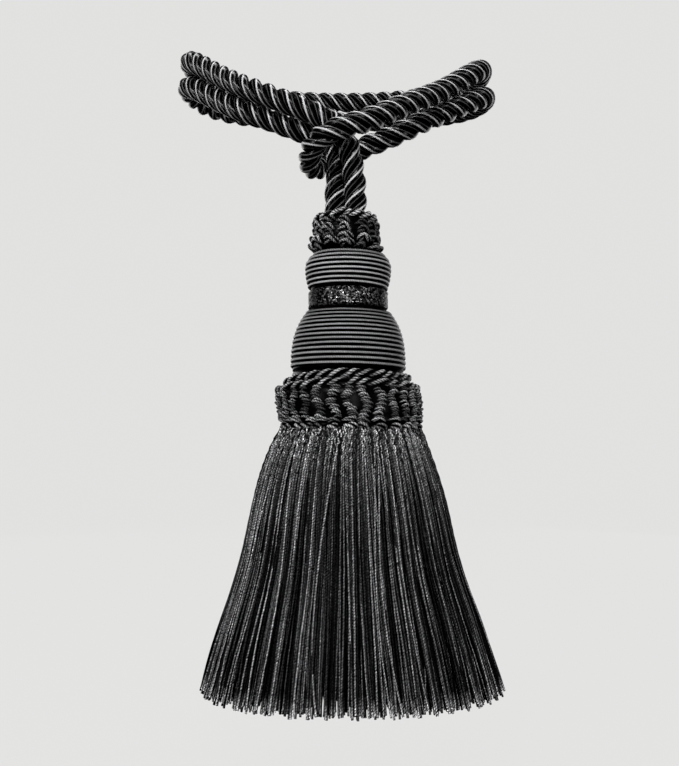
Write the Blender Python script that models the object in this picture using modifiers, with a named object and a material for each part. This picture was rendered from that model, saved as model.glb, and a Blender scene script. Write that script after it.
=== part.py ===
"""A curtain tieback: a doubled loop of twisted rope with one large tassel.

Millimetres times MM give metres, +Z is up, and the viewer stands on the -Y side.
The origin is at the inner back of the loop, midway between the rope's two runs, where a hook
would hold it. The tassel hangs at the front of the loop on the rope's two ends.
"""

import math
import random

import bmesh
import bpy
import numpy as np

MM = 0.001
GAP = 0.3  # between two pieces that meet

# The tassel's axis, and the heights of its pieces, all below the hook
AXIS_Y = -88.0
RUFF_TOP = -82.8
RUFF_BOTTOM = -100.2
UPPER_BULB_BOTTOM = -118.7
NECK_BOTTOM = -127.6
LOWER_BULB_BOTTOM = -155.7
COLLAR_TOP = -156.0
COLLAR_BOTTOM = -183.3
SKIRT_TOP = -183.7

# Rope
ROPE_DIAMETER = 10.8
ROPE_LAY = 25.0  # length of one full turn of its three strands
ROPE_STRANDS = 3
STRAND_CREST = math.radians(23.0)  # half the width of a strand's rounded crest
STRAND_VALLEY = 0.64  # radius between two strands, as a share of the rope's radius
STEPS_PER_LAY = 8
STEM_HALF_WIDTH = 5.55  # from the ruff's middle to the middle of each rope end
STEM_TURN = math.radians(-36.0)  # the right rope end is in front of the left one

# The rope's route, by hand, in millimetres: X, Y from the tassel's axis, Z below the hook.
# It rises from the ruff, turns left, goes round the back to the right, passes behind the
# stem, curls round its left side to the front, and goes back the same way to the ruff.
ROUTE = (
    (-5.6, 3.26, -99.6),
    (-5.6, 3.26, -84.0),
    (-5.7, 3.8, -70.6),
    (-4.9, 5.7, -60.0),
    (-6.6, 6.8, -51.4),
    (-12.3, 6.6, -45.6),
    (-20.1, 5.8, -42.9),
    (-32.2, 8.4, -37.6),
    (-48.6, 14.0, -30.2),
    (-64.9, 26.6, -19.0),
    (-82.6, 46.5, -5.4),
    (-79.4, 69.0, -4.6),
    (-48.0, 88.0, -5.4),
    (-6.0, 93.2, -5.6),
    (37.4, 88.0, -5.7),
    (67.2, 69.0, -7.4),
    (69.4, 42.4, -12.0),
    (46.4, 23.9, -27.1),
    (34.5, 17.8, -34.2),
    (19.3, 16.4, -41.7),
    (8.1, 18.0, -45.7),
    (-2.6, 18.6, -50.8),
    (-13.0, 14.8, -56.4),
    (-17.3, 5.4, -59.0),
    (-17.5, -4.0, -57.8),
    (-15.2, -12.2, -54.8),
    (-8.7, -17.2, -51.5),
    (1.0, -16.9, -47.9),
    (10.9, -13.4, -43.3),
    (21.9, -5.8, -36.1),
    (34.1, 4.6, -27.6),
    (46.1, 16.4, -18.4),
    (67.8, 42.0, 1.6),
    (66.4, 69.0, 5.2),
    (37.4, 88.0, 5.6),
    (-6.0, 93.2, 5.6),
    (-47.6, 88.0, 6.2),
    (-77.6, 69.0, 7.8),
    (-81.0, 44.0, 6.6),
    (-63.6, 22.0, -8.9),
    (-48.3, 8.2, -20.7),
    (-31.0, 0.2, -30.0),
    (-18.5, -3.2, -36.0),
    (-8.0, -4.8, -41.8),
    (-1.2, -5.5, -50.2),
    (1.8, -5.0, -60.5),
    (3.2, -3.8, -71.4),
    (3.4, -3.26, -84.0),
    (3.4, -3.26, -99.6),
)

# Crocheted pieces: an outer side in rows from top to bottom, and an inner side.
# height is measured down from the piece's top, bump is half the height of the stitches'
# relief, turn is how far the row's stitches are moved round, in stitches, and shift is how
# far the row is to the right of the tassel's axis.
RUFF_STITCHES = 12
RUFF_SLACK = 2.4  # room in front of and behind the two rope ends
RUFF_SHIFT = -1.1  # its hole is on the middle of the two rope ends
RUFF_ROWS = (
    {"height": 0.0, "radius": 11.9, "bump": 0.2, "turn": 0.0, "shift": RUFF_SHIFT},
    {"height": 0.2, "radius": 13.4, "bump": 0.5, "turn": 0.0, "shift": RUFF_SHIFT},
    {"height": 2.4, "radius": 14.6, "bump": 0.5, "turn": 0.0, "shift": RUFF_SHIFT},
    {"height": 4.6, "radius": 13.4, "bump": 0.3, "turn": 0.25, "shift": RUFF_SHIFT},
    {"height": 7.6, "radius": 15.6, "bump": 1.1, "turn": 0.5, "shift": RUFF_SHIFT},
    {"height": 10.6, "radius": 14.6, "bump": 0.4, "turn": 0.75, "shift": RUFF_SHIFT},
    {"height": 13.6, "radius": 17.0, "bump": 1.1, "turn": 1.0, "shift": RUFF_SHIFT},
    {"height": 16.4, "radius": 15.8, "bump": 0.6, "turn": 1.0, "shift": RUFF_SHIFT},
    {"height": 17.4, "radius": 14.0, "bump": 0.2, "turn": 1.0, "shift": RUFF_SHIFT},
)
COLLAR_STITCHES = 30
COLLAR_INNER = 24.4
COLLAR_ROWS = (
    {"height": 0.0, "radius": 27.4, "bump": 0.0, "turn": 0.0, "shift": 0.0},
    {"height": 0.8, "radius": 28.8, "bump": 0.2, "turn": 0.0, "shift": 0.0},
    {"height": 2.6, "radius": 30.0, "bump": 0.2, "turn": 0.0, "shift": 0.4},
    {"height": 4.0, "radius": 29.8, "bump": 0.0, "turn": 0.0, "shift": 0.4},
    {"height": 6.0, "radius": 32.4, "bump": 0.2, "turn": 0.0, "shift": 0.2},
    {"height": 8.2, "radius": 33.0, "bump": 0.0, "turn": 0.0, "shift": 0.0},
    {"height": 10.2, "radius": 34.4, "bump": 0.7, "turn": 0.0, "shift": 0.0},
    {"height": 15.8, "radius": 34.4, "bump": 0.8, "turn": 0.0, "shift": 0.4},
    {"height": 21.0, "radius": 33.8, "bump": 0.7, "turn": 0.0, "shift": 1.0},
    {"height": 22.4, "radius": 32.6, "bump": 0.0, "turn": 0.0, "shift": 1.2},
    {"height": 24.2, "radius": 33.2, "bump": 0.3, "turn": 0.5, "shift": 1.6},
    {"height": 26.5, "radius": 32.4, "bump": 0.2, "turn": 0.5, "shift": 1.8},
    {"height": 27.3, "radius": 30.6, "bump": 0.0, "turn": 0.0, "shift": 1.8},
)

# Wound bulbs
CORD_RELIEF = 0.6  # how far each turn of cord stands out
CORD_SHOULDER = 0.28  # where a turn reaches its full height, as a share of its width
TURNED_STEPS = 20
UPPER_TURNS = 9
UPPER_TOP_RADIUS = 13.8
UPPER_WIDEST_RADIUS = 20.0
UPPER_WIDEST_AT = 0.42  # share of its height
UPPER_BOTTOM_RADIUS = 18.0
LOWER_TURNS = 14
LOWER_TOP_RADIUS = 18.5
LOWER_BOTTOM_RADIUS = 26.7
LOWER_CROWDING = 0.17  # how much less than the mean its top turn is high, as a share of it
NECK_RADIUS = 16.0
CORE_RADIUS = 24.0  # of the mould inside the collar
BAND_RADIUS = 18.1
BAND_BULGE = 0.5

# Skirt
BACKING_RADIUS = 34.4
BACKING_THICKNESS = 1.8
SKIRT_LENGTH = 118.0
SKIRT_SHIFT = 1.8  # how far its end hangs to the right of its root
END_RAGGED = 1.6
LOCK_ROOT_RADIUS = 1.0
LOCK_END_RADIUS = 1.75
SKIRT_SECTIONS = (  # share of the length, then half the width and half the depth there
    {"share": 0.0, "width": 33.2, "depth": 33.2},
    {"share": 0.12, "width": 38.4, "depth": 36.6},
    {"share": 0.45, "width": 48.6, "depth": 40.6},
    {"share": 1.0, "width": 70.0, "depth": 46.0},
)
SKIRT_LAYERS = (  # size at the root and at the end, as shares of the outside
    {"locks": 80, "root": 1.0, "end": 1.0},
    {"locks": 60, "root": 0.84, "end": 0.86},
    {"locks": 40, "root": 0.66, "end": 0.68},
)
SEED = 7


def clear_scene():
    for obj in list(bpy.data.objects):
        bpy.data.objects.remove(obj)


def new_collection(name):
    collection = bpy.data.collections.new(name)
    bpy.context.scene.collection.children.link(collection)
    return collection


def thread_material(name, colour, roughness):
    material = bpy.data.materials.new(name)
    material.use_nodes = True
    shader = material.node_tree.nodes["Principled BSDF"]
    shader.inputs["Base Color"].default_value = (*colour, 1.0)
    shader.inputs["Roughness"].default_value = roughness
    shader.inputs["Metallic"].default_value = 0.0
    return material


def add_object(collection, name, data, material):
    obj = bpy.data.objects.new(name, data)
    obj.data.materials.append(material)
    collection.objects.link(obj)
    return obj


def metres(points):
    """Points given from the tassel's axis in millimetres, in the part's own frame."""
    return [(x * MM, (y + AXIS_Y) * MM, z * MM) for x, y, z in points]


def smooth_line(points, step):
    """The natural cubic spline through points, as points step apart."""
    points = np.array(points)
    chord = np.linalg.norm(np.diff(points, axis=0), axis=1)
    at = np.concatenate([[0.0], np.cumsum(chord)])
    slope = np.diff(points, axis=0) / chord[:, None]
    system = np.eye(len(points))
    wanted = np.zeros_like(points)
    for i in range(1, len(points) - 1):
        before, after = chord[i - 1], chord[i]
        system[i, i - 1 : i + 2] = (before, 2 * (before + after), after)
        wanted[i] = 6 * (slope[i] - slope[i - 1])
    bend = np.linalg.solve(system, wanted)

    def place(s):
        i = min(max(int(np.searchsorted(at, s)) - 1, 0), len(chord) - 1)
        near, far, h = s - at[i], at[i + 1] - s, chord[i]
        curved = bend[i] * far**3 + bend[i + 1] * near**3
        straight = points[i] * far + points[i + 1] * near
        level = (bend[i] * far + bend[i + 1] * near) * h * h
        return (curved - level) / (6 * h) + straight / h

    fine = np.array([place(s) for s in np.linspace(0, at[-1], 20 * len(points))])
    run = np.linalg.norm(np.diff(fine, axis=0), axis=1)
    along = np.concatenate([[0.0], np.cumsum(run)])
    stops = np.linspace(0, along[-1], round(along[-1] / step) + 1)
    return np.stack([np.interp(stops, along, fine[:, k]) for k in range(3)], axis=1)


def guide_outline(collection, name, points):
    """A closed flat outline that other curves are swept with, not a piece itself."""
    curve = bpy.data.curves.new(name, "CURVE")
    curve.dimensions = "2D"
    spline = curve.splines.new("POLY")
    spline.points.add(len(points) - 1)
    for point, (x, y) in zip(spline.points, points):
        point.co = (x * MM, y * MM, 0.0, 1.0)
    spline.use_cyclic_u = True
    guide = bpy.data.objects.new(name, curve)
    guide.hide_render = True
    guide.display_type = "WIRE"
    collection.objects.link(guide)
    return guide


def rope_outline():
    """The rope across: a flat-topped crest for each strand and a valley after it."""
    radius = ROPE_DIAMETER / 2
    outline = []
    for strand in range(ROPE_STRANDS):
        middle = 2 * math.pi * strand / ROPE_STRANDS
        valley = middle + math.pi / ROPE_STRANDS
        for angle, size in (
            (middle - STRAND_CREST, radius),
            (middle + STRAND_CREST, radius),
            (valley, radius * STRAND_VALLEY),
        ):
            outline.append((size * math.cos(angle), size * math.sin(angle)))
    return outline


def swept_mesh(guides, name, outline_points, lines):
    """Tubes with the given outline along lines of (place, thickness, turn), as one mesh."""
    outline = guide_outline(guides, name + "_outline", outline_points)
    curve = bpy.data.curves.new(name, "CURVE")
    curve.dimensions = "3D"
    curve.twist_mode = "MINIMUM"
    curve.bevel_mode = "OBJECT"
    curve.bevel_object = outline
    curve.use_fill_caps = True
    for line in lines:
        spline = curve.splines.new("POLY")
        spline.points.add(len(line) - 1)
        places = metres([place for place, _, _ in line])
        for point, place, (_, thickness, turn) in zip(spline.points, places, line):
            point.co = (*place, 1.0)
            point.radius = thickness
            point.tilt = turn
    swept = bpy.data.objects.new(name + "_curve", curve)
    guides.objects.link(swept)
    bpy.context.view_layer.update()
    graph = bpy.context.evaluated_depsgraph_get()
    mesh = bpy.data.meshes.new_from_object(swept.evaluated_get(graph))
    bpy.data.objects.remove(swept)
    shape = bmesh.new()
    shape.from_mesh(mesh)
    bmesh.ops.remove_doubles(shape, verts=shape.verts, dist=0.000001)
    bmesh.ops.recalc_face_normals(shape, faces=shape.faces)
    shape.to_mesh(mesh)
    shape.free()
    return mesh


def make_rope(collection, guides):
    places = smooth_line(ROUTE, ROPE_LAY / STEPS_PER_LAY)
    turn = 2 * math.pi / STEPS_PER_LAY
    line = [(place, 1.0, i * turn) for i, place in enumerate(places)]
    mesh = swept_mesh(guides, "rope", rope_outline(), [line])
    mesh.shade_smooth()
    material = thread_material("rope_thread", (0.012, 0.012, 0.013), 0.34)
    return add_object(collection, "rope", mesh, material)


def ring_mesh(name, rings):
    """A closed ring of faces through rings of points, the last joined to the first."""
    shape = bmesh.new()
    made = [[shape.verts.new(p) for p in metres(ring)] for ring in rings]
    for upper, lower in zip(made, made[1:] + made[:1]):
        for i in range(len(upper)):
            j = (i + 1) % len(upper)
            shape.faces.new((upper[i], lower[i], lower[j], upper[j]))
    bmesh.ops.recalc_face_normals(shape, faces=shape.faces)
    mesh = bpy.data.meshes.new(name)
    shape.to_mesh(mesh)
    shape.free()
    mesh.shade_smooth()
    return mesh


def stitched_ring(top, rows, stitches, points_per_stitch, hole):
    """Rings for a crocheted band: bumpy rows outside, a plain oval wall inside.

    hole gives the oval's middle, its half width, its half depth and how far it is turned.
    """
    middle, half_width, half_depth, turn = hole
    count = stitches * points_per_stitch
    bottom = top - rows[-1]["height"]
    rings = []
    for row in rows:
        ring = []
        for i in range(count):
            angle = 2 * math.pi * i / count
            wave = math.cos(stitches * angle + 2 * math.pi * row["turn"])
            r = row["radius"] + row["bump"] * wave
            z = top - row["height"]
            ring.append((row["shift"] + r * math.cos(angle), r * math.sin(angle), z))
        rings.append(ring)
    for z in (bottom, top - rows[0]["height"]):
        ring = []
        for i in range(count):
            angle = 2 * math.pi * i / count - turn
            along = half_width * math.cos(angle)
            across = half_depth * math.sin(angle)
            x = middle + along * math.cos(turn) - across * math.sin(turn)
            ring.append((x, along * math.sin(turn) + across * math.cos(turn), z))
        rings.append(ring)
    return rings


def make_top_ruff(collection):
    rope_radius = ROPE_DIAMETER / 2
    half_width = STEM_HALF_WIDTH + rope_radius + GAP
    hole = (RUFF_SHIFT, half_width, rope_radius + RUFF_SLACK, STEM_TURN)
    rings = stitched_ring(RUFF_TOP, RUFF_ROWS, RUFF_STITCHES, 4, hole)
    material = thread_material("ruff_gimp", (0.013, 0.013, 0.014), 0.4)
    return add_object(collection, "top_ruff", ring_mesh("top_ruff", rings), material)


def make_collar(collection):
    hole = (0.0, COLLAR_INNER, COLLAR_INNER, 0.0)
    rings = stitched_ring(COLLAR_TOP, COLLAR_ROWS, COLLAR_STITCHES, 2, hole)
    material = thread_material("collar_crochet", (0.013, 0.013, 0.014), 0.42)
    return add_object(collection, "collar", ring_mesh("collar", rings), material)


def turned(collection, name, profile, material):
    """A solid turned about the tassel's axis, from (radius, height) top to bottom."""
    shape = bmesh.new()
    points = [shape.verts.new((r * MM, 0.0, z * MM)) for r, z in profile]
    for upper, lower in zip(points, points[1:]):
        shape.edges.new((upper, lower))
    mesh = bpy.data.meshes.new(name)
    shape.to_mesh(mesh)
    shape.free()
    obj = add_object(collection, name, mesh, material)
    obj.location.y = AXIS_Y * MM
    screw = obj.modifiers.new("turn", "SCREW")
    screw.steps = TURNED_STEPS
    screw.render_steps = TURNED_STEPS
    screw.use_merge_vertices = True
    screw.merge_threshold = 0.00001
    screw.use_smooth_shade = True
    return obj


def wound_profile(top, bottom, turns, radius_at, crowding):
    """Crests and valleys of the cord's turns on a turned form, crowded towards its top."""
    shares = [i / turns for i in range(turns + 1)]
    stops = [share - crowding * share * (1 - share) for share in shares]
    profile = []
    for start, end in zip(stops, stops[1:]):
        radius = radius_at((start + end) / 2)
        z = top - start * (top - bottom)
        height = (end - start) * (top - bottom)
        profile.append((radius - CORD_RELIEF, z))
        profile.append((radius, z - CORD_SHOULDER * height))
        profile.append((radius, z - (1 - CORD_SHOULDER) * height))
    profile.append((radius_at(1.0) - CORD_RELIEF, bottom))
    return profile


def upper_bulb_radius(t):
    if t < UPPER_WIDEST_AT:
        away = (UPPER_WIDEST_AT - t) / UPPER_WIDEST_AT
        return UPPER_WIDEST_RADIUS - (UPPER_WIDEST_RADIUS - UPPER_TOP_RADIUS) * away**2
    away = (t - UPPER_WIDEST_AT) / (1 - UPPER_WIDEST_AT)
    return UPPER_WIDEST_RADIUS - (UPPER_WIDEST_RADIUS - UPPER_BOTTOM_RADIUS) * away**2


def lower_bulb_radius(t):
    return LOWER_BOTTOM_RADIUS - (LOWER_BOTTOM_RADIUS - LOWER_TOP_RADIUS) * (1 - t) ** 3


def make_upper_bulb(collection):
    top = RUFF_BOTTOM - GAP
    wound = wound_profile(top, UPPER_BULB_BOTTOM, UPPER_TURNS, upper_bulb_radius, 0.0)
    profile = [(0.0, top)] + wound + [(0.0, UPPER_BULB_BOTTOM)]
    material = thread_material("upper_winding", (0.02, 0.02, 0.022), 0.4)
    return turned(collection, "upper_bulb", profile, material)


def make_lower_bulb(collection):
    top = UPPER_BULB_BOTTOM - GAP
    bottom = LOWER_BULB_BOTTOM
    wound = wound_profile(NECK_BOTTOM, bottom, LOWER_TURNS, lower_bulb_radius, LOWER_CROWDING)
    profile = [(0.0, top), (NECK_RADIUS, top), (NECK_RADIUS, NECK_BOTTOM)] + wound
    profile.append((CORE_RADIUS, bottom))
    profile.append((CORE_RADIUS, COLLAR_BOTTOM))
    profile.append((0.0, COLLAR_BOTTOM))
    material = thread_material("lower_winding", (0.02, 0.02, 0.022), 0.4)
    return turned(collection, "lower_bulb", profile, material)


def make_neck_band(collection):
    top = UPPER_BULB_BOTTOM - GAP
    bottom = NECK_BOTTOM + GAP
    middle = (top + bottom) / 2
    inner = NECK_RADIUS + GAP
    profile = [
        (inner, top),
        (BAND_RADIUS - 0.6, top),
        (BAND_RADIUS, top - 0.6),
        (BAND_RADIUS + BAND_BULGE, middle),
        (BAND_RADIUS, bottom + 0.6),
        (BAND_RADIUS - 0.6, bottom),
        (inner, bottom),
        (inner, top),
    ]
    material = thread_material("neck_ribbon", (0.03, 0.028, 0.028), 0.22)
    return turned(collection, "neck_band", profile, material)


def lock_line(angle, layer, chance):
    """One lock of the skirt, root to end, and its thickness at each point."""
    drop = SKIRT_LENGTH + chance.uniform(-END_RAGGED, END_RAGGED)
    sway = chance.uniform(-0.3, 0.3) * math.pi / layer["locks"]
    points = []
    for section in SKIRT_SECTIONS:
        t = section["share"]
        size = layer["root"] + (layer["end"] - layer["root"]) * t
        here = angle + sway * math.sin(math.pi * t)
        x = size * section["width"] * math.cos(here) + SKIRT_SHIFT * t
        y = size * section["depth"] * math.sin(here)
        z = SKIRT_TOP - BACKING_THICKNESS / 2 - (drop - BACKING_THICKNESS / 2) * t
        thickness = LOCK_ROOT_RADIUS + (LOCK_END_RADIUS - LOCK_ROOT_RADIUS) * t
        points.append(((x, y, z), thickness, 0.0))
    return points


def make_locks(guides):
    """All the skirt's locks as one mesh of separate three-sided strands."""
    corners = [2 * math.pi * k / 3 for k in range(3)]
    triangle = [(math.cos(a), math.sin(a)) for a in corners]
    chance = random.Random(SEED)
    lines = []
    for number, layer in enumerate(SKIRT_LAYERS):
        for k in range(layer["locks"]):
            angle = 2 * math.pi * (k + 0.5 * (number % 2)) / layer["locks"]
            lines.append(lock_line(angle, layer, chance))
    locks = bpy.data.objects.new("locks", swept_mesh(guides, "locks", triangle, lines))
    locks.hide_render = True
    locks.display_type = "WIRE"
    guides.objects.link(locks)
    return locks


def make_skirt(collection, guides):
    shape = bmesh.new()
    bmesh.ops.create_cone(
        shape,
        cap_ends=True,
        segments=2 * TURNED_STEPS,
        radius1=BACKING_RADIUS * MM,
        radius2=BACKING_RADIUS * MM,
        depth=BACKING_THICKNESS * MM,
    )
    mesh = bpy.data.meshes.new("skirt")
    shape.to_mesh(mesh)
    shape.free()
    material = thread_material("skirt_thread", (0.01, 0.01, 0.011), 0.36)
    skirt = add_object(collection, "skirt", mesh, material)
    skirt.location = metres([(0.0, 0.0, SKIRT_TOP - BACKING_THICKNESS / 2)])[0]
    union = skirt.modifiers.new("roots", "BOOLEAN")
    union.operation = "UNION"
    union.solver = "EXACT"
    union.object = make_locks(guides)
    return skirt


def main():
    clear_scene()
    tieback = new_collection("curtain_tieback")
    guides = new_collection("guides")
    make_rope(tieback, guides)
    make_top_ruff(tieback)
    make_upper_bulb(tieback)
    make_neck_band(tieback)
    make_lower_bulb(tieback)
    make_collar(tieback)
    make_skirt(tieback, guides)


main()
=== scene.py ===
"""The looks of a curtain tieback: a doubled loop of black rayon rope with one large tassel.

Lengths are millimetres in the frame of the solids unless a name says otherwise: +Z is up,
and the viewer stands on the -Y side. Every yarn, cord and thread is a tube with a map
named yarn: X is the share of the way round the tube, and Y is the millimetres along it.
"""

import math

import bpy
import numpy as np
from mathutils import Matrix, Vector


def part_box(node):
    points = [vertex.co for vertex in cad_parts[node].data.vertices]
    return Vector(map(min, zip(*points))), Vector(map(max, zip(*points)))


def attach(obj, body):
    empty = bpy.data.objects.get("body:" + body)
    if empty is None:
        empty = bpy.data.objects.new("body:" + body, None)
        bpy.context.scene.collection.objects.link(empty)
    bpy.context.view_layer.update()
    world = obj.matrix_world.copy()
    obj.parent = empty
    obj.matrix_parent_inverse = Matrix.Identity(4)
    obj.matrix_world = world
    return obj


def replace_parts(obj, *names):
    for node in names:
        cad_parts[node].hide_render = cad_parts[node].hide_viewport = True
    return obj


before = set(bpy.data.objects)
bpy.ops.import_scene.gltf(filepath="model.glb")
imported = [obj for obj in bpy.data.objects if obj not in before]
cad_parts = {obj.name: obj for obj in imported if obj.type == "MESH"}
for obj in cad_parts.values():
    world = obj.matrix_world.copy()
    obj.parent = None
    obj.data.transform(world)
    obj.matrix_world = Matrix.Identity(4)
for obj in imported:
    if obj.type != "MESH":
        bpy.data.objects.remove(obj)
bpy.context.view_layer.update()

MM = 0.001
TURN = 2 * math.pi
AXIS_Y = -88.0  # the tassel's axis, at X 0
MIDDLE_RADIUS = 0.02  # where a turned skin closes at the axis
SEED = 11

# The photograph's camera: its place, and the tassel's scale through a lens made longer
CAMERA_PLACE = (0.0, -0.488, -0.189)
PHOTO_WIDTH = 679
MM_PER_PIXEL = 0.741
DISTANCE = 400.0  # from the camera to the tassel's axis
SENSOR = 36.0
ENLARGED = 1.6
VIEW_MIDDLE = (-4.0, -161.0)  # X and Z at the middle of the picture

# The rope's route as in the part's source, in metres
ROUTE = (
    (-0.0056, -0.08474, -0.0996),
    (-0.0056, -0.08474, -0.084),
    (-0.0057, -0.0842, -0.0706),
    (-0.0049, -0.0823, -0.06),
    (-0.0066, -0.0812, -0.0514),
    (-0.0123, -0.0814, -0.0456),
    (-0.0201, -0.0822, -0.0429),
    (-0.0322, -0.0796, -0.0376),
    (-0.0486, -0.074, -0.0302),
    (-0.0649, -0.0614, -0.019),
    (-0.0826, -0.0415, -0.0054),
    (-0.0794, -0.019, -0.0046),
    (-0.048, 0.0, -0.0054),
    (-0.006, 0.0052, -0.0056),
    (0.0374, 0.0, -0.0057),
    (0.0672, -0.019, -0.0074),
    (0.0694, -0.0456, -0.012),
    (0.0464, -0.0641, -0.0271),
    (0.0345, -0.0702, -0.0342),
    (0.0193, -0.0716, -0.0417),
    (0.0081, -0.07, -0.0457),
    (-0.0026, -0.0694, -0.0508),
    (-0.013, -0.0732, -0.0564),
    (-0.0173, -0.0826, -0.059),
    (-0.0175, -0.092, -0.0578),
    (-0.0152, -0.1002, -0.0548),
    (-0.0087, -0.1052, -0.0515),
    (0.001, -0.1049, -0.0479),
    (0.0109, -0.1014, -0.0433),
    (0.0219, -0.0938, -0.0361),
    (0.0341, -0.0834, -0.0276),
    (0.0461, -0.0716, -0.0184),
    (0.0678, -0.046, 0.0016),
    (0.0664, -0.019, 0.0052),
    (0.0374, 0.0, 0.0056),
    (-0.006, 0.0052, 0.0056),
    (-0.0476, 0.0, 0.0062),
    (-0.0776, -0.019, 0.0078),
    (-0.081, -0.044, 0.0066),
    (-0.0636, -0.066, -0.0089),
    (-0.0483, -0.0798, -0.0207),
    (-0.031, -0.0878, -0.03),
    (-0.0185, -0.0912, -0.036),
    (-0.008, -0.0928, -0.0418),
    (-0.0012, -0.0935, -0.0502),
    (0.0018, -0.093, -0.0605),
    (0.0032, -0.0918, -0.0714),
    (0.0034, -0.09126, -0.084),
    (0.0034, -0.09126, -0.0996),
)
ROPE_LAY = 25.0
STRANDS = 3
STRAND_RADIUS = 2.45
STRAND_OFFSET = 2.95  # from the rope's middle to a strand's middle
STRAND_YARNS = 13
YARN_DEPTH = 0.14
STEPS_PER_LAY = 24

# Yarn finish, and where the painted highlight's side lines are
ROUGH_RANGE = 0.2
TINT = (1.0, 1.0, 1.02)
SIDE_HIGHLIGHT_AT = 2 / STRAND_YARNS  # painted highlight side lines, two of the rope's yarns away from the crest

# Wound bulbs
UPPER_TURNS = 9
UPPER_TOP_RADIUS = 13.8
UPPER_WIDEST_RADIUS = 20.0
UPPER_WIDEST_AT = 0.42
UPPER_BOTTOM_RADIUS = 18.0
LOWER_TURNS = 14
LOWER_TOP_RADIUS = 18.5
LOWER_BOTTOM_RADIUS = 26.7
LOWER_CROWDING = 0.17  # how much less than the mean its top turn is high, as a share of it
LOWER_FOOT_RADIUS = 24.0  # of the core that goes on down inside the collar
NECK_BOTTOM = -127.6
LOWER_BULB_BOTTOM = -155.7
STEPS_PER_TURN = 90
CORD_SIDES = 12
CORD_WOBBLE = 0.09  # how far a turn strays up or down
CORD_START = 0.6  # the angle at which the cord's upper end is
KNOTS_PER_TURN = 8
# How bright the painted highlight along each winding's cord is
UPPER_LIGHT = 0.46
LOWER_LIGHT = 0.33
FIRST_TURNS_PAINTED_SHADE = ((0.0, 0.35), (1.5, 0.75), (4.0, 1.0))  # painted shade on the top turns: turns from the top, and how light

# Neck ribbon
RIBBON_INNER = 16.3
RIBBON_RADIUS = 17.9
RIBBON_BULGE = 0.5
RIBBON_EDGE = 0.35  # how much thicker it is near its edges
RIBBON_TUCK = 0.3  # how far its edges turn in
RIBBON_LIP = 0.1
RIBBON_CREASE = 0.12
RIBBON_ROWS = 16
RIBBON_SIDES = 144
FACETS_ROUND = 170.0
FACETS_PER_MM = 1.8
FACET_TILT = 0.22

# Crochet. A band's base is a skin of (height below its top, radius, shift to the right), and
# its cords are rings: height below the top, radius to the cord's middle, the ply's radius, how
# far the plies are from the cord's middle, how many full turns they make round the ring, at
# which share of a turn they start, and how far the ring droops at its left and its right. Its
# bars are described at add_bars.
GIMP_SIDES = 8
CORD_STEPS_PER_TURN = 24
BAR_STEPS = 17
SUNK_SHARE = 0.28  # the share of the bars that lie deeper, darkened with painted shade
SUNK = 0.35  # how much less than the others they stand out
CORD_UNEVEN = (0.04, 0.16)  # how far a ring cord strays in each of its waves, at least and most
CORD_WAVES = (3, 5, 8, 13)
PLY_UNEVEN = 0.14
OFFSET_UNEVEN = 0.2
PHASE_UNEVEN = 0.35
COLLAR_INNER = 24.4
COLLAR_BASE = (
    (0.0, 25.0, 0.0), (0.6, 25.6, 0.0), (3.6, 27.2, 0.4), (6.4, 29.8, 0.2), (9.5, 32.2, 0.0),
    (16.0, 32.6, 0.4), (21.0, 31.8, 1.0), (24.2, 31.0, 1.6), (26.5, 30.6, 1.8),
    (27.3, 29.4, 1.8),
)
COLLAR_CORDS = (
    {"height": 2.2, "radius": 26.9, "ply": 1.0, "offset": 0.85, "turns": -14, "start": 0.0,
     "droop": (2.6, 1.0)},
    {"height": 6.2, "radius": 30.3, "ply": 1.0, "offset": 0.9, "turns": -15, "start": 0.3,
     "droop": (2.4, 1.4)},
)
COLLAR_BARS = (
    {"columns": 30, "rows": 8, "start": 9.0, "pitch": 1.75, "share": 0.6, "yarn": 1.0,
     "arch": 0.6, "twists": 0.2, "lift": 1.4, "wander": 0.16, "light": 0.68, "facing": 2.0},
    {"columns": 30, "rows": 1, "start": 22.6, "pitch": 1.0, "share": 0.95, "yarn": 1.0,
     "arch": 0.8, "twists": 0.3, "lift": 1.3, "wander": 0.2, "light": 1.0, "facing": 2.0},
    {"columns": 28, "rows": 1, "start": 25.4, "pitch": 1.0, "share": 0.72, "yarn": 1.45,
     "arch": 0.4, "twists": 0.6, "lift": 1.5, "wander": 0.35, "light": 1.1, "facing": 0.7},
)
RUFF_SHIFT = -1.1
RUFF_INNER = 3.0
RUFF_BASE = (
    (1.4, 3.0, RUFF_SHIFT), (1.2, 11.4, RUFF_SHIFT), (3.4, 12.8, RUFF_SHIFT),
    (7.0, 13.6, RUFF_SHIFT), (11.0, 14.2, RUFF_SHIFT), (15.0, 15.0, RUFF_SHIFT),
    (17.0, 14.6, RUFF_SHIFT), (17.2, 13.0, RUFF_SHIFT),
)
RUFF_CORDS = (
    {"height": 2.5, "radius": 12.6, "ply": 1.15, "offset": 0.95, "turns": -8, "start": 0.0,
     "droop": (0.8, 0.4)},
)
RUFF_BARS = (
    {"columns": 12, "rows": 4, "start": 6.4, "pitch": 3.3, "share": 0.84, "yarn": 1.5,
     "arch": 2.0, "twists": 0.7, "lift": 1.5, "wander": 0.12, "light": 0.8, "facing": 0.8},
)
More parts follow.
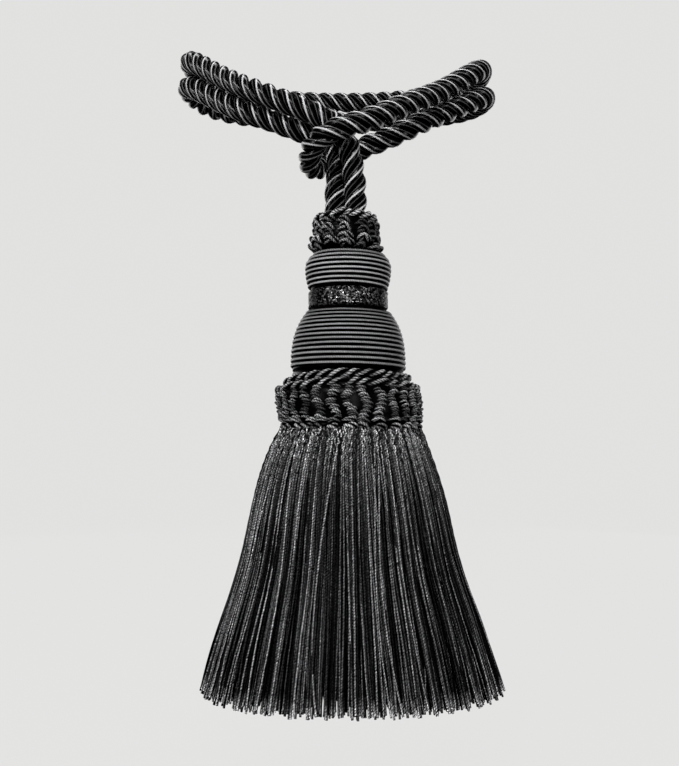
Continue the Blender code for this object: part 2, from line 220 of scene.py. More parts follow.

# Skirt. Its outline is how far below its root, then half its width and half its depth there.
# A layer's size is its threads' place, as a share of the outline, clump is where its clumps
# are, as a share of the way from one to the next, and light is how much of its painted
# highlight is kept: the inner layers are darkened with painted shade.
SKIRT_OUTLINE = (
    (0.0, 33.2, 33.2), (7.0, 36.4, 35.4), (17.5, 40.3, 37.2), (37.0, 45.5, 39.2),
    (57.0, 50.0, 41.0), (74.0, 55.5, 42.6), (92.0, 61.8, 44.2), (119.0, 70.0, 46.0),
    (125.0, 71.6, 46.4),
)
SKIRT_ROOT = -184.0
SKIRT_LENGTH = 117.6
SKIRT_SHIFT = 1.8  # how far to the right its lower end is
END_RAGGED = 1.6  # how much longer or shorter than the others a thread may be
LAST_STEP = 0.01  # the last step's share of the steps
THREAD_RADIUS = 0.5
THREAD_THICKNESS = (0.85, 1.12)  # as a share of that radius
CUT_SWELL = 1.12  # how much thicker its cut end is
CRINKLE = 0.5  # how far a thread strays at its root
CRINKLE_LEFT = 0.06  # how far it strays lower down
CRINKLE_PITCH = (2.2, 6.0)
CRINKLE_FADE = 8.0  # how far down the crinkle has fallen to about a third
TOP_FADE = 12.0  # how far down the painted highlight at the top has done so
ROOT_REACH = 1.5  # how far down the roots, drawn up and in under the collar, have done so
ROOT_INWARD = 0.9
ROOT_LIFT = (0.4, 2.2)
ROOT_SHIFT = 1.0  # to the right, as the collar's foot is
BACKING = ((31.2, 1.0), (31.8, 0.8))  # the radius and shift of its upper and lower edge
BACKING_DEPTH = 1.8
CLUMPS = 48
GATHER = (0.3, 0.85)  # a thread's share of the way to the middle of its clump
BRIGHT_EVERY = 4  # about one thread in so many has a bright painted highlight
CROSSING_SHARE = 0.04
CROSSING_SWAY = 0.13
SWAY = 0.018
HIGHLIGHT_SPREAD = 0.35  # how far the side of a thread with the painted highlight strays from the outer side
HIGHLIGHT_FRONT = 2.4  # how much more the painted highlight keeps to the front and the back than to the sides
DULL_LIGHT = 0.3  # the most painted highlight that a dull thread has
BRIGHT_LIGHT = (0.4, 1.15)
TOP_HIGHLIGHT = 1.75  # the most painted highlight that a thread has at the top
SPARKLE = (0.3, 0.65)  # painted sparkle, how much the painted highlight changes along a thread: everywhere, and more at the top
CUT_SHARE = 0.6  # the share of the threads whose cut end has a painted highlight
CUT_HIGHLIGHT = (2.6, 0.4)  # the painted highlight of such an end, and of another
SKIRT_LAYERS = (
    {"name": "skirt_outer_threads", "threads": 350, "steps": 52, "sides": 5, "clump": 0.0,
     "size": (0.985, 1.0), "light": 1.0},
    {"name": "skirt_second_threads", "threads": 380, "steps": 46, "sides": 4, "clump": 0.5,
     "size": (0.94, 0.975), "light": 0.55},
    {"name": "skirt_middle_threads", "threads": 420, "steps": 24, "sides": 4, "clump": 0.25,
     "size": (0.86, 0.93), "light": 0.3},
    {"name": "skirt_inner_threads", "threads": 640, "steps": 14, "sides": 3, "clump": 0.75,
     "size": (0.7, 0.85), "light": 0.1},
    {"name": "skirt_core_threads", "threads": 600, "steps": 12, "sides": 3, "clump": 0.4,
     "size": (0.45, 0.7), "light": 0.1},
)

# Room and lights. A light is its name, its place in metres, its width and height, and its power.
ROOM_FLOOR = -360.0
ROOM_WALL = 2600.0  # from the tassel's axis
ROOM_CORNER = 700.0
ROOM_TOP = 2400.0
ROOM_SIDES = 96
LIGHT_AIM = (0.0, AXIS_Y * MM, -0.16)
LIGHTS = (
    ("key", (-0.2, -0.95, 0.5), (0.9, 0.1), 14.0),
    ("left", (-0.8, -0.75, -0.1), (0.08, 0.8), 5.0),
    ("right", (0.85, -0.7, 0.0), (0.08, 0.8), 3.5),
    ("front", (0.15, -1.2, 0.0), (0.12, 0.5), 3.0),
    ("top", (0.0, 0.1, 0.8), (0.5, 0.2), 4.0),
    ("back_left", (-0.7, 0.9, 0.2), (0.9, 0.9), 4.5),
    ("back_right", (0.7, 0.95, 0.1), (0.9, 0.9), 4.0),
)


def heights(node_name):
    """The top and bottom of one of the solids, in millimetres."""
    low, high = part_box(node_name)
    return high.z / MM, low.z / MM


def unit(vectors):
    return vectors / np.linalg.norm(vectors, axis=-1, keepdims=True)


def ring_points(angle, radius, height, shift=0.0):
    """Points round the tassel's axis. Angle 0 is at +X and a quarter turn less faces the viewer."""
    x = shift + radius * np.cos(angle)
    y = AXIS_Y + radius * np.sin(angle)
    return np.stack(np.broadcast_arrays(x, y, height), axis=-1).astype(float)


def frames_along(lines, side=None, closed=False):
    """Unit directions across lines shaped (lines, steps, 3), which turn as little as they can.

    side, where it is given, is the first direction roughly, at each point.
    """
    if closed:
        tangent = unit(np.roll(lines, -1, axis=1) - np.roll(lines, 1, axis=1))
    else:
        tangent = unit(np.gradient(lines, axis=1))
    if side is None:
        side = np.empty_like(lines)
        side[:, 0] = unit(np.cross(tangent[:, 0], (0.31, 0.53, 0.79)))
        for k in range(1, lines.shape[1]):
            last = side[:, k - 1]
            along = (last * tangent[:, k]).sum(-1, keepdims=True)
            side[:, k] = unit(last - along * tangent[:, k])
    else:
        side = unit(side - (side * tangent).sum(-1, keepdims=True) * tangent)
    return side, np.cross(tangent, side)


def lengths_along(lines):
    steps = np.linalg.norm(np.diff(lines, axis=1), axis=2)
    return np.concatenate([np.zeros((len(lines), 1)), np.cumsum(steps, axis=1)], axis=1)


def lobed(lobes, radius, depth):
    """A round outline with that many ridges, the first of them at angle 0."""
    count = 2 * lobes
    angle = TURN * np.arange(count) / count
    size = radius - depth * (np.arange(count) % 2)
    return np.stack([size * np.cos(angle), size * np.sin(angle)], axis=1)


def round_outline(sides, radius):
    angle = TURN * np.arange(sides) / sides
    return np.stack([radius * np.cos(angle), radius * np.sin(angle)], axis=1)


def outward_of(angle):
    """Unit directions away from the tassel's axis."""
    return ring_points(angle, 1.0, 0.0) - (0.0, AXIS_Y, 0.0)


class Yarns:
    """Gathers tubes and turned skins, in millimetres, and makes one mesh of them."""

    def __init__(self):
        self.points = []
        self.faces = []
        self.maps = []
        self.shades = []
        self.count = 0

    def add_grid(self, grid, across, along, shades, closed, capped):
        """A surface through points shaped (surfaces, steps, sides, 3), closed round its sides.

        across and along are the map's X at each side and Y at each step. A closed surface's
        last step meets its first, and a capped one has a face at each end.
        """
        number, steps, sides = grid.shape[:3]
        index = self.count + np.arange(number * steps * sides).reshape(number, steps, sides)
        after = np.roll(index, -1, axis=2)
        if closed:
            low, low_after = index, after
            high, high_after = np.roll(index, -1, axis=1), np.roll(after, -1, axis=1)
            v_low = along
            v_high = np.concatenate([along[:, 1:], 2 * along[:, -1:] - along[:, -2:-1]], axis=1)
        else:
            low, low_after = index[:, :-1], after[:, :-1]
            high, high_after = index[:, 1:], after[:, 1:]
            v_low, v_high = along[:, :-1], along[:, 1:]
        quads = np.stack([low, low_after, high_after, high], axis=-1)
        u_low = np.broadcast_to(across, low.shape)
        u_high = u_low + 1.0 / sides
        v_low = np.broadcast_to(v_low[:, :, None], low.shape)
        v_high = np.broadcast_to(v_high[:, :, None], low.shape)
        corners = [(u_low, v_low), (u_high, v_low), (u_high, v_high), (u_low, v_high)]
        quad_map = np.stack([np.stack(c, axis=-1) for c in corners], axis=-2)
        self.faces.extend(quads.reshape(-1, 4).tolist())
        self.maps.append(quad_map.reshape(-1, 2))
        if capped:
            for ends, at in ((index[:, 0, ::-1], along[:, 0]), (index[:, -1], along[:, -1])):
                self.faces.extend(ends.tolist())
                cap = np.zeros((number, sides, 2))
                cap[:, :, 1] = at[:, None]
                self.maps.append(cap.reshape(-1, 2))
        self.points.append(grid.reshape(-1, 3))
        shades = np.broadcast_to(shades, (number, steps))
        self.shades.append(np.repeat(shades, sides))
        self.count += number * steps * sides

    def add_tubes(self, lines, outline, side, shades, thickness=1.0, starts=0.0, closed=False):
        """Tubes along lines shaped (lines, steps, 3), whose outline begins at the given side.

        starts is what the map's Y is at the first point of each.
        """
        lines = np.asarray(lines, float)
        first, second = frames_along(lines, side, closed)
        number, steps = lines.shape[:2]
        thick = np.broadcast_to(thickness, (number, steps))[:, :, None]
        x = thick * outline[:, 0]
        y = thick * outline[:, 1]
        grid = lines[:, :, None] + x[..., None] * first[:, :, None]
        grid = grid + y[..., None] * second[:, :, None]
        across = np.arange(len(outline)) / len(outline)
        along = lengths_along(lines) + np.broadcast_to(starts, number)[:, None]
        self.add_grid(grid, across, along, shades, closed, not closed)

    def add_turned(self, profile, sides, closed=False):
        """A dark skin turned about the tassel's axis, from its points, top to bottom.

        A point is a radius, a height, and how far the ring there is shifted, if it is.
        """
        angle = -TURN * np.arange(sides) / sides
        rings = [ring_points(angle, *point) for point in profile]
        grid = np.array(rings)[None, :, ::-1]
        along = np.arange(len(profile), dtype=float)[None]
        across = np.arange(sides) / sides
        self.add_grid(grid, across, along, 0.0, closed, not closed)

    def finish(self, name, material):
        mesh = bpy.data.meshes.new(name)
        points = np.concatenate(self.points) * MM
        mesh.from_pydata(points.tolist(), [], self.faces)
        layer = mesh.uv_layers.new(name="yarn")
        layer.uv.foreach_set("vector", np.concatenate(self.maps).astype(np.float32).ravel())
        shade = mesh.attributes.new("shade", "FLOAT", "POINT")
        shade.data.foreach_set("value", np.concatenate(self.shades).astype(np.float32))
        mesh.materials.append(material)
        mesh.shade_smooth()
        piece = bpy.data.objects.new(name, mesh)
        bpy.context.scene.collection.objects.link(piece)
        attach(piece, "root")
        return piece


def smooth_line(points, step):
    """The natural cubic spline through points, as points step apart."""
    chord = np.linalg.norm(np.diff(points, axis=0), axis=1)
    at = np.concatenate([[0.0], np.cumsum(chord)])
    slope = np.diff(points, axis=0) / chord[:, None]
    system = np.eye(len(points))
    wanted = np.zeros_like(points)
    for i in range(1, len(points) - 1):
        before, after = chord[i - 1], chord[i]
        system[i, i - 1 : i + 2] = (before, 2 * (before + after), after)
        wanted[i] = 6 * (slope[i] - slope[i - 1])
    bend = np.linalg.solve(system, wanted)
    fine = []
    for s in np.linspace(0, at[-1], 40 * len(points)):
        i = min(max(int(np.searchsorted(at, s)) - 1, 0), len(chord) - 1)
        near, far, h = s - at[i], at[i + 1] - s, chord[i]
        curved = bend[i] * far**3 + bend[i + 1] * near**3
        straight = points[i] * far + points[i + 1] * near
        level = (bend[i] * far + bend[i + 1] * near) * h * h
        fine.append((curved - level) / (6 * h) + straight / h)
    fine = np.array(fine)
    run = np.linalg.norm(np.diff(fine, axis=0), axis=1)
    along = np.concatenate([[0.0], np.cumsum(run)])
    stops = np.linspace(0, along[-1], round(along[-1] / step) + 1)
    return np.stack([np.interp(stops, along, fine[:, k]) for k in range(3)], axis=1)


# Materials


def node(tree, kind, **inputs):
    """A shader node. A number or colour sets an input, and another node's output feeds it."""
    made = tree.nodes.new("ShaderNode" + kind)
    for name, value in inputs.items():
        socket = made.inputs[int(name[1:])] if name[0] == "_" else made.inputs[name]
        if isinstance(value, bpy.types.NodeSocket):
            tree.links.new(value, socket)
        else:
            socket.default_value = value
    return made


def result(tree, operation, a, b=0.0, c=0.0):
    """The output of a Math node on numbers or other nodes' outputs."""
    made = node(tree, "Math", _0=a, _1=b, _2=c)
    made.operation = operation
    return made.outputs[0]


def falloff(tree, value, near, far):
    """1 where value is below near, and 0 past far."""
    made = node(tree, "MapRange", _0=value, _1=near, _2=far, _3=1.0, _4=0.0)
    made.interpolation_type = "SMOOTHSTEP"
    return made.outputs[0]


def yarn_material(name, dark, light, roughness, crest, gloss, soft=1.6, side_highlight=0.0, plies=1,
                  lay=None, ply_depth=0.0, ply_painted_shade=0.5, uneven=0.0, fibres=24,
                  fibre_depth=0.03, stretch=0.25, fleck=1.6):
    """Black rayon yarn with a painted highlight: its colour is lighter along its glossy crests.

    dark and light are the least and most of the light that it gives back, and gloss is the
    strength of its plain reflection. crest is half the width of the painted highlight line
    along the outer side, as a share of the way round. soft is where that line has faded out,
    in widths of crest, and side_highlight is how bright the painted highlight line on either
    side of it is. lay is the length of the plies' full turn, ply_depth half their relief,
    ply_painted_shade how much painted shade darkens it between them, from 0 to 1, and uneven
    how much they stray. fibres is how many streaks go round the yarn, fibre_depth their
    relief, stretch how fine they are along it, and fleck how much they stand out, breaking
    the painted highlight into flecks.
    """
    material = bpy.data.materials.new(name)
    material.use_nodes = True
    tree = material.node_tree
    shader = tree.nodes["Principled BSDF"]
    where = tree.nodes.new("ShaderNodeUVMap")
    where.uv_map = "yarn"
    split = node(tree, "SeparateXYZ", Vector=where.outputs["UV"])
    around, along = split.outputs["X"], split.outputs["Y"]
    # The shade attribute sets how strong the painted highlight is at each point.
    yarn = tree.nodes.new("ShaderNodeAttribute")
    yarn.attribute_name = "shade"
    away = result(tree, "PINGPONG", around, 0.5)
    # Painted highlight: a light line in the base colour along the outer side, with fainter painted
    # side lines.
    line = falloff(tree, away, 0.35 * crest, soft * crest)
    if side_highlight:
        aside = result(tree, "ABSOLUTE", result(tree, "SUBTRACT", away, SIDE_HIGHLIGHT_AT))
        side = falloff(tree, aside, 0.2 * crest, crest)
        line = result(tree, "MULTIPLY_ADD", side, side_highlight, line)
    lit = result(tree, "MULTIPLY", yarn.outputs["Fac"], line)
    if lay:
        around = result(tree, "MULTIPLY_ADD", along, -1.0 / lay, around)
    fibre_place = node(tree, "CombineXYZ", X=result(tree, "MULTIPLY", around, float(fibres)),
                       Y=result(tree, "MULTIPLY", along, stretch))
    streaks = node(tree, "TexNoise", Vector=fibre_place.outputs[0], Scale=1.0, Detail=2.0)
    streaks = streaks.outputs[0]
    height = result(tree, "MULTIPLY", streaks, fibre_depth * MM)
    if ply_depth:
        phase = result(tree, "MULTIPLY", around, TURN * plies)
        wave = result(tree, "SINE", result(tree, "MULTIPLY_ADD", streaks, uneven, phase))
        height = result(tree, "MULTIPLY_ADD", wave, ply_depth * MM, height)
        # Painted shade between the plies.
        seen = result(tree, "MULTIPLY_ADD", wave, 0.5 * ply_painted_shade, 1.0 - 0.5 * ply_painted_shade)
        lit = result(tree, "MULTIPLY", lit, seen)
    bump = node(tree, "Bump", Strength=1.0, Distance=1.0, Height=height)
    tree.links.new(bump.outputs[0], shader.inputs["Normal"])
    # The streaks break the painted highlight into flecks.
    flecks = result(tree, "MULTIPLY_ADD", streaks, fleck, 1.0 - fleck / 2)
    lit = result(tree, "MULTIPLY", lit, result(tree, "MAXIMUM", flecks))
    tone = result(tree, "MULTIPLY_ADD", lit, light - dark, dark)
    toned = node(tree, "VectorMath", _0=TINT)
    toned.operation = "SCALE"
    tree.links.new(tone, toned.inputs["Scale"])
    tree.links.new(toned.outputs[0], shader.inputs["Base Color"])
    rough = result(tree, "MULTIPLY_ADD", streaks, ROUGH_RANGE, roughness - ROUGH_RANGE / 2)
    tree.links.new(rough, shader.inputs["Roughness"])
    shader.inputs["Specular IOR Level"].default_value = gloss
    return material


# The camera and the rope come first


def make_camera():
    data = bpy.data.cameras.new("camera")
    camera = bpy.data.objects.new("camera", data)
    bpy.context.scene.collection.objects.link(camera)
    bpy.context.scene.camera = camera
    camera.location = CAMERA_PLACE
    camera.rotation_euler = (math.pi / 2, 0.0, 0.0)
    pixels = ENLARGED * DISTANCE / MM_PER_PIXEL
    data.sensor_fit = "HORIZONTAL"
    data.sensor_width = SENSOR
    data.lens = SENSOR * pixels / PHOTO_WIDTH
    across, up = (np.array(VIEW_MIDDLE) - (0.0, CAMERA_PLACE[2] / MM)) / DISTANCE
    data.shift_x = across * pixels / PHOTO_WIDTH
    data.shift_y = up * pixels / PHOTO_WIDTH
    data.clip_start = 0.01


def make_rope():
    middle = smooth_line(np.array(ROUTE) / MM, ROPE_LAY / STEPS_PER_LAY)
    first, second = frames_along(middle[None])
    along = lengths_along(middle[None])[0]
    yarns = Yarns()
    lines, outward = [], []
    for strand in range(STRANDS):
        angle = TURN * (along / ROPE_LAY + strand / STRANDS)
        radial = np.cos(angle)[:, None] * first[0] + np.sin(angle)[:, None] * second[0]
        lines.append(middle + STRAND_OFFSET * radial)
        outward.append(radial)
    outline = lobed(STRAND_YARNS, STRAND_RADIUS, YARN_DEPTH)
    yarns.add_tubes(lines, outline, np.array(outward), 0.8)
    # Painted highlight along each strand's crest, with fainter painted side lines.
    material = yarn_material("rope_rayon", 0.0005, 0.52, 0.2, crest=0.027, fibres=70, gloss=0.14,
                             side_highlight=0.16)
    rope = yarns.finish("rope_strands", material)
    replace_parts(rope, "rope")


# Wound bulbs


def upper_bulb_radius(t):
    above = (UPPER_WIDEST_AT - t) / UPPER_WIDEST_AT
    below = (t - UPPER_WIDEST_AT) / (1 - UPPER_WIDEST_AT)
    narrow_top = (UPPER_WIDEST_RADIUS - UPPER_TOP_RADIUS) * above**2
    narrow_bottom = (UPPER_WIDEST_RADIUS - UPPER_BOTTOM_RADIUS) * below**2
    return UPPER_WIDEST_RADIUS - np.where(t < UPPER_WIDEST_AT, narrow_top, narrow_bottom)


def lower_bulb_radius(t):
    return LOWER_BOTTOM_RADIUS - (LOWER_BOTTOM_RADIUS - LOWER_TOP_RADIUS) * (1 - t) ** 3


def make_winding(name, node_name, span, turns, radius_at, crowding, below, light, chance):
    """A cord wound side by side down a turned core. below is the core's rest, under the cord.

    span is the height of its top and of its bottom, and radius_at gives its radius at a share
    of the way down. The turns are crowded towards the top.
    """
    top, bottom = span
    s = np.linspace(0, 1, turns * STEPS_PER_TURN + 1)
    s_cord = 0.5 / turns + s * (turns - 1) / turns
    t_cord = s_cord - crowding * s_cord * (1 - s_cord)
    cord = (top - bottom) / turns / 2 * (1 - crowding * (1 - 2 * s_cord))
    angle = TURN * (turns - 1) * s + CORD_START
    knots = np.linspace(0, 1, KNOTS_PER_TURN * turns)
    wobble = np.interp(s, knots, chance.uniform(-CORD_WOBBLE, CORD_WOBBLE, len(knots)))
    height = top - t_cord * (top - bottom) + wobble
    line = ring_points(angle, radius_at(t_cord) - cord, height)
    shades = 0.8 + 0.14 * np.interp(s, knots, chance.uniform(-1, 1, len(knots)))
    # Painted shade on the top turns.
    shades = shades * np.interp(s * turns, *zip(*FIRST_TURNS_PAINTED_SHADE))
    yarns = Yarns()
    yarns.add_tubes([line], round_outline(CORD_SIDES, 1.0), outward_of(angle)[None], shades,
                    thickness=1.02 * cord)
    core_t = np.linspace(0, 1, 24)
    core = [(MIDDLE_RADIUS, top)]
    core += [(float(radius_at(u)) - 1.2 * cord[0], top - u * (top - bottom)) for u in core_t]
    yarns.add_turned(core + below, 72)
    material = yarn_material(name + "_cord", 0.0004, light, 0.2, crest=0.07, plies=4, lay=4.0,
                             ply_depth=0.02, ply_painted_shade=0.5, stretch=0.6, fleck=2.4, gloss=0.02,
                             soft=1.25)
    piece = yarns.finish(name, material)
    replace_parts(piece, node_name)


def make_bulbs(chance):
    top, bottom = heights("upper_bulb")
    make_winding("upper_winding", "upper_bulb", (top, bottom), UPPER_TURNS, upper_bulb_radius,
                 0.0, [(MIDDLE_RADIUS, bottom)], UPPER_LIGHT, chance)
    _, core_bottom = heights("lower_bulb")
    below = [(LOWER_FOOT_RADIUS, LOWER_BULB_BOTTOM), (LOWER_FOOT_RADIUS, core_bottom),
             (MIDDLE_RADIUS, core_bottom)]
    make_winding("lower_winding", "lower_bulb", (NECK_BOTTOM, LOWER_BULB_BOTTOM), LOWER_TURNS,
                 lower_bulb_radius, LOWER_CROWDING, below, LOWER_LIGHT, chance)


# Ribbon


def make_ribbon():
    """The ribbon: a band with thicker edges, a little bulge and some creases."""
    top, bottom = heights("neck_band")
    last = RIBBON_ROWS - 1
    profile = [(RIBBON_INNER, top - RIBBON_LIP)]
    for k in range(RIBBON_ROWS):
        t = k / last
        edge = RIBBON_EDGE * math.exp(-((k - 1.5) ** 2))
        edge += RIBBON_EDGE * math.exp(-((last - k - 1.5) ** 2))
        crown = RIBBON_BULGE * math.sin(math.pi * t) ** 0.6 if 0 < t < 1 else -RIBBON_TUCK
        profile.append((RIBBON_RADIUS + crown + edge, top - t * (top - bottom)))
    profile.append((RIBBON_INNER, bottom + RIBBON_LIP))
    across = np.arange(RIBBON_SIDES) / RIBBON_SIDES
    angle = -TURN * across
    rings = []
    for i, (radius, height) in enumerate(profile):
        crease = RIBBON_CREASE * np.sin(5 * angle + 0.9 * i) * np.sin(2 * angle + 0.35 * i)
        if radius == RIBBON_INNER:
            crease = 0.0 * angle
        rings.append(ring_points(angle, radius + crease, height))
    grid = np.array(rings)[None, :, ::-1]
    along = np.array([[top - height for _, height in profile]])
    yarns = Yarns()
    yarns.add_grid(grid, across, along, 0.5, True, False)
    ribbon = yarns.finish("neck_ribbon", ribbon_material())
    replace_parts(ribbon, "neck_band")


def ribbon_material():
    """Satin with a fine glitter weave: a net of small facets that catch the light singly.

    The facets are painted lighter at the front and the back, and darker and duller at the sides as
    painted shade.
    """
    material = bpy.data.materials.new("glitter_satin")
    material.use_nodes = True
    tree = material.node_tree
    shader = tree.nodes["Principled BSDF"]
    where = tree.nodes.new("ShaderNodeUVMap")
    where.uv_map = "yarn"
    split = node(tree, "SeparateXYZ", Vector=where.outputs["UV"])
    place = node(tree, "CombineXYZ",
                 X=result(tree, "MULTIPLY", split.outputs["X"], FACETS_ROUND),
                 Y=result(tree, "MULTIPLY", split.outputs["Y"], FACETS_PER_MM))
    facets = node(tree, "TexVoronoi", Vector=place.outputs[0], Scale=1.0)
    glint = node(tree, "SeparateColor", Color=facets.outputs["Color"])
    bright = node(tree, "MapRange", _0=glint.outputs[0], _1=0.62, _2=1.05).outputs[0]
    turned = result(tree, "SINE", result(tree, "MULTIPLY", split.outputs["X"], TURN))
    # Painted shade: the facets are darkened and dulled at the ribbon's sides.
    sides_painted_shade = falloff(tree, result(tree, "ABSOLUTE", turned), 0.6, 0.96)
    bright = result(tree, "MULTIPLY", bright, result(tree, "MULTIPLY_ADD", sides_painted_shade, -0.75, 1.0))
    tone = result(tree, "MULTIPLY_ADD", bright, 0.24, 0.0004)
    colour = node(tree, "CombineColor", Red=tone, Green=tone, Blue=tone)
    tree.links.new(colour.outputs[0], shader.inputs["Base Color"])
    tree.links.new(bright, shader.inputs["Metallic"])
    tree.links.new(result(tree, "MULTIPLY_ADD", glint.outputs[1], 0.15, 0.2),
                   shader.inputs["Roughness"])
    tilt = node(tree, "CombineColor", Red=glint.outputs[1], Green=glint.outputs[2], Blue=1.0)
    facing = node(tree, "NormalMap", Strength=FACET_TILT, Color=tilt.outputs[0])
    facing.uv_map = "yarn"
    tree.links.new(facing.outputs[0], shader.inputs["Normal"])
    shader.inputs["Specular IOR Level"].default_value = 0.03
    return material


# Crochet


def add_gimp(yarns, lines, outward, ply, offset, phase, shades, facing=0.0, closed=False):
    """Two plies twisted round lines shaped (lines, steps, 3). phase turns them at each step.

    facing is how much the side of a ply with the painted highlight keeps to the outer side instead
    of turning with it.
    """
    side, other = frames_along(lines, outward, closed)
    for half_turn in (0.0, math.pi):
        angle = (phase + half_turn)[..., None]
        away = np.cos(angle) * side + np.sin(angle) * other
        yarns.add_tubes(lines + offset[..., None] * away, round_outline(GIMP_SIDES, 1.0),
                        away + facing * side, shades, thickness=ply, closed=closed)


def add_ring_cord(yarns, surface, top, cord, chance):
    """A two-ply twisted cord laid in a ring round the tassel, and a little uneven.

    surface gives the radius and the shift of the skin under it at a depth below top.
    """
    steps = CORD_STEPS_PER_TURN * abs(cord["turns"])
    angle = TURN * np.arange(steps) / steps
    uneven = sum(
        chance.uniform(*CORD_UNEVEN) * np.sin(k * angle + chance.uniform(0, TURN))
        for k in CORD_WAVES
    )
    strokes = np.linspace(0, TURN, 4 * abs(cord["turns"]) + 1)
    rough = chance.uniform(-1, 1, (3, len(strokes)))
    rough[:, -1] = rough[:, 0]
    loose, fat, lit = (np.interp(angle, strokes, row) for row in rough)
    left, right = cord["droop"]
    depth = cord["height"] + np.where(np.cos(angle) > 0, right, left) * np.cos(angle) ** 2
    lying, shift = surface(depth)
    radius = cord["radius"] + lying - surface(cord["height"])[0]
    ring = ring_points(angle, radius, top - depth + uneven)
    ring[:, 0] += shift
    phase = cord["turns"] * angle + TURN * cord["start"] + 3 * uneven + PHASE_UNEVEN * loose
    shades = 0.65 + 0.35 * lit
    ply = cord["ply"] * (1 + PLY_UNEVEN * fat)
    offset = cord["offset"] * (1 + OFFSET_UNEVEN * loose)
    add_gimp(yarns, ring[None], outward_of(angle)[None], ply[None], offset[None], phase[None],
             shades[None], closed=True)


def add_bars(yarns, surface, top, bars, chance):
    """Columns of crocheted bars: short arched pieces of gimp cord whose ends dive in.

    start is how far the first bar is below top, pitch is from bar to bar, share is a bar's
    share of its column's width, and yarn is its cord's half thickness. arch is how far its ends
    drop, twists is how many turns its plies make, lift is how far it stands out, and wander is
    how far a column sways aside, as a share of its width. light is how bright a bar's painted
    highlight is, and facing goes to add_gimp. A bar gets painted shade at its ends, where they
    dive in, and the sunk bars get painted shade all over.
    """
    columns, rows, yarn = bars["columns"], bars["rows"], bars["yarn"]
    number = np.arange(columns * rows)
    column, row = number // rows, number % rows
    loose = chance.uniform(-1, 1, (len(number), 6))[:, :, None]
    s = np.linspace(-1, 1, BAR_STEPS)[None]
    sway = chance.uniform(0, TURN, columns)[column, None] + 0.9 * row[:, None]
    aside = bars["wander"] * np.sin(sway) + 0.06 * loose[:, 0]
    middle = TURN * (column[:, None] + aside) / columns - TURN / 4
    half = TURN / columns / 2 * bars["share"] * (1 + 0.15 * loose[:, 1])
    angle = middle + half * s
    step = 0.35 * chance.uniform(-1, 1, columns)[column, None]
    depth = bars["start"] + bars["pitch"] * (row[:, None] + step + 0.15 * loose[:, 2])
    depth = depth + bars["arch"] * (1 + 0.6 * loose[:, 3]) * (np.abs(s) ** 1.5 - 0.4)
    depth = depth - 0.45 * yarn * loose[:, 4] ** 3 * s
    round_end = np.sqrt(np.clip(1.04 - s * s, 0.0, 1.0))
    lying, shift = surface(depth)
    sunk = SUNK * (chance.random(len(number))[:, None] < SUNK_SHARE)
    radius = lying + bars["lift"] * (round_end * (1 - sunk) + 0.15 * loose[:, 5]) - 0.4
    lines = ring_points(angle, radius, top - depth)
    lines[..., 0] += shift
    thick = yarn * (0.45 + 0.55 * round_end)
    phase = TURN * (bars["twists"] * s / 2 + loose[:, 1])
    # Painted shade: a bar is darker towards its ends, where they dive in, and its brightness varies
    # at random from bar to bar.
    shades = bars["light"] * (0.65 + 0.45 * loose[:, 3]) * (0.05 + 0.95 * round_end**2)
    # Painted shade on the sunk bars.
    shades = shades * (1 - 2.2 * sunk)
    add_gimp(yarns, lines, outward_of(angle), 0.58 * thick, 0.48 * thick, phase, shades,
             bars["facing"])


def make_crochet(prefix, node_name, base, inner, cords, bars, chance):
    """A crocheted band: a dark base, its twisted-cord rows, and its columns of bars."""
    top, _ = heights(node_name)
    gimp = yarn_material(prefix + "_gimp", 0.0004, 0.6, 0.24, crest=0.13, plies=3, lay=3.4,
                         ply_depth=0.06, ply_painted_shade=0.85, fibres=6, stretch=0.8, fleck=3.5,
                         gloss=0.03, uneven=3.0)
    cord_gimp = yarn_material(prefix + "_cord_gimp", 0.0004, 0.52, 0.24, crest=0.15, plies=4,
                              lay=5.0, ply_depth=0.07, ply_painted_shade=0.95, fibres=8, stretch=0.9,
                              fleck=3.5, gloss=0.03, uneven=3.0)
    table = np.array(base)

    def surface(depth):
        radius = np.interp(depth, table[:, 0], table[:, 1])
        return radius, np.interp(depth, table[:, 0], table[:, 2])

    skin = Yarns()
    profile = [(radius, top - height, shift) for height, radius, shift in base]
    profile += [(inner, top - base[-1][0], base[-1][2]), (inner, top - base[0][0], base[0][2])]
    skin.add_turned(profile, 96, closed=True)
    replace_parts(skin.finish(prefix + "_base", gimp), node_name)
    rows = Yarns()
    for cord in cords:
        add_ring_cord(rows, surface, top, cord, chance)
    rows.finish(prefix + "_cords", cord_gimp)
    knots = Yarns()
    for row in bars:
        add_bars(knots, surface, top, row, chance)
    knots.finish(prefix + "_stitches", gimp)


def make_collar(chance):
    make_crochet("collar", "collar", COLLAR_BASE, COLLAR_INNER, COLLAR_CORDS, COLLAR_BARS, chance)


def make_ruff(chance):
    make_crochet("ruff", "top_ruff", RUFF_BASE, RUFF_INNER, RUFF_CORDS, RUFF_BARS, chance)


# Skirt


def skirt_sizes():
    """How far down the skirt is, half its width and half its depth, on smooth lines."""
    return smooth_line(np.array(SKIRT_OUTLINE), 1.0)


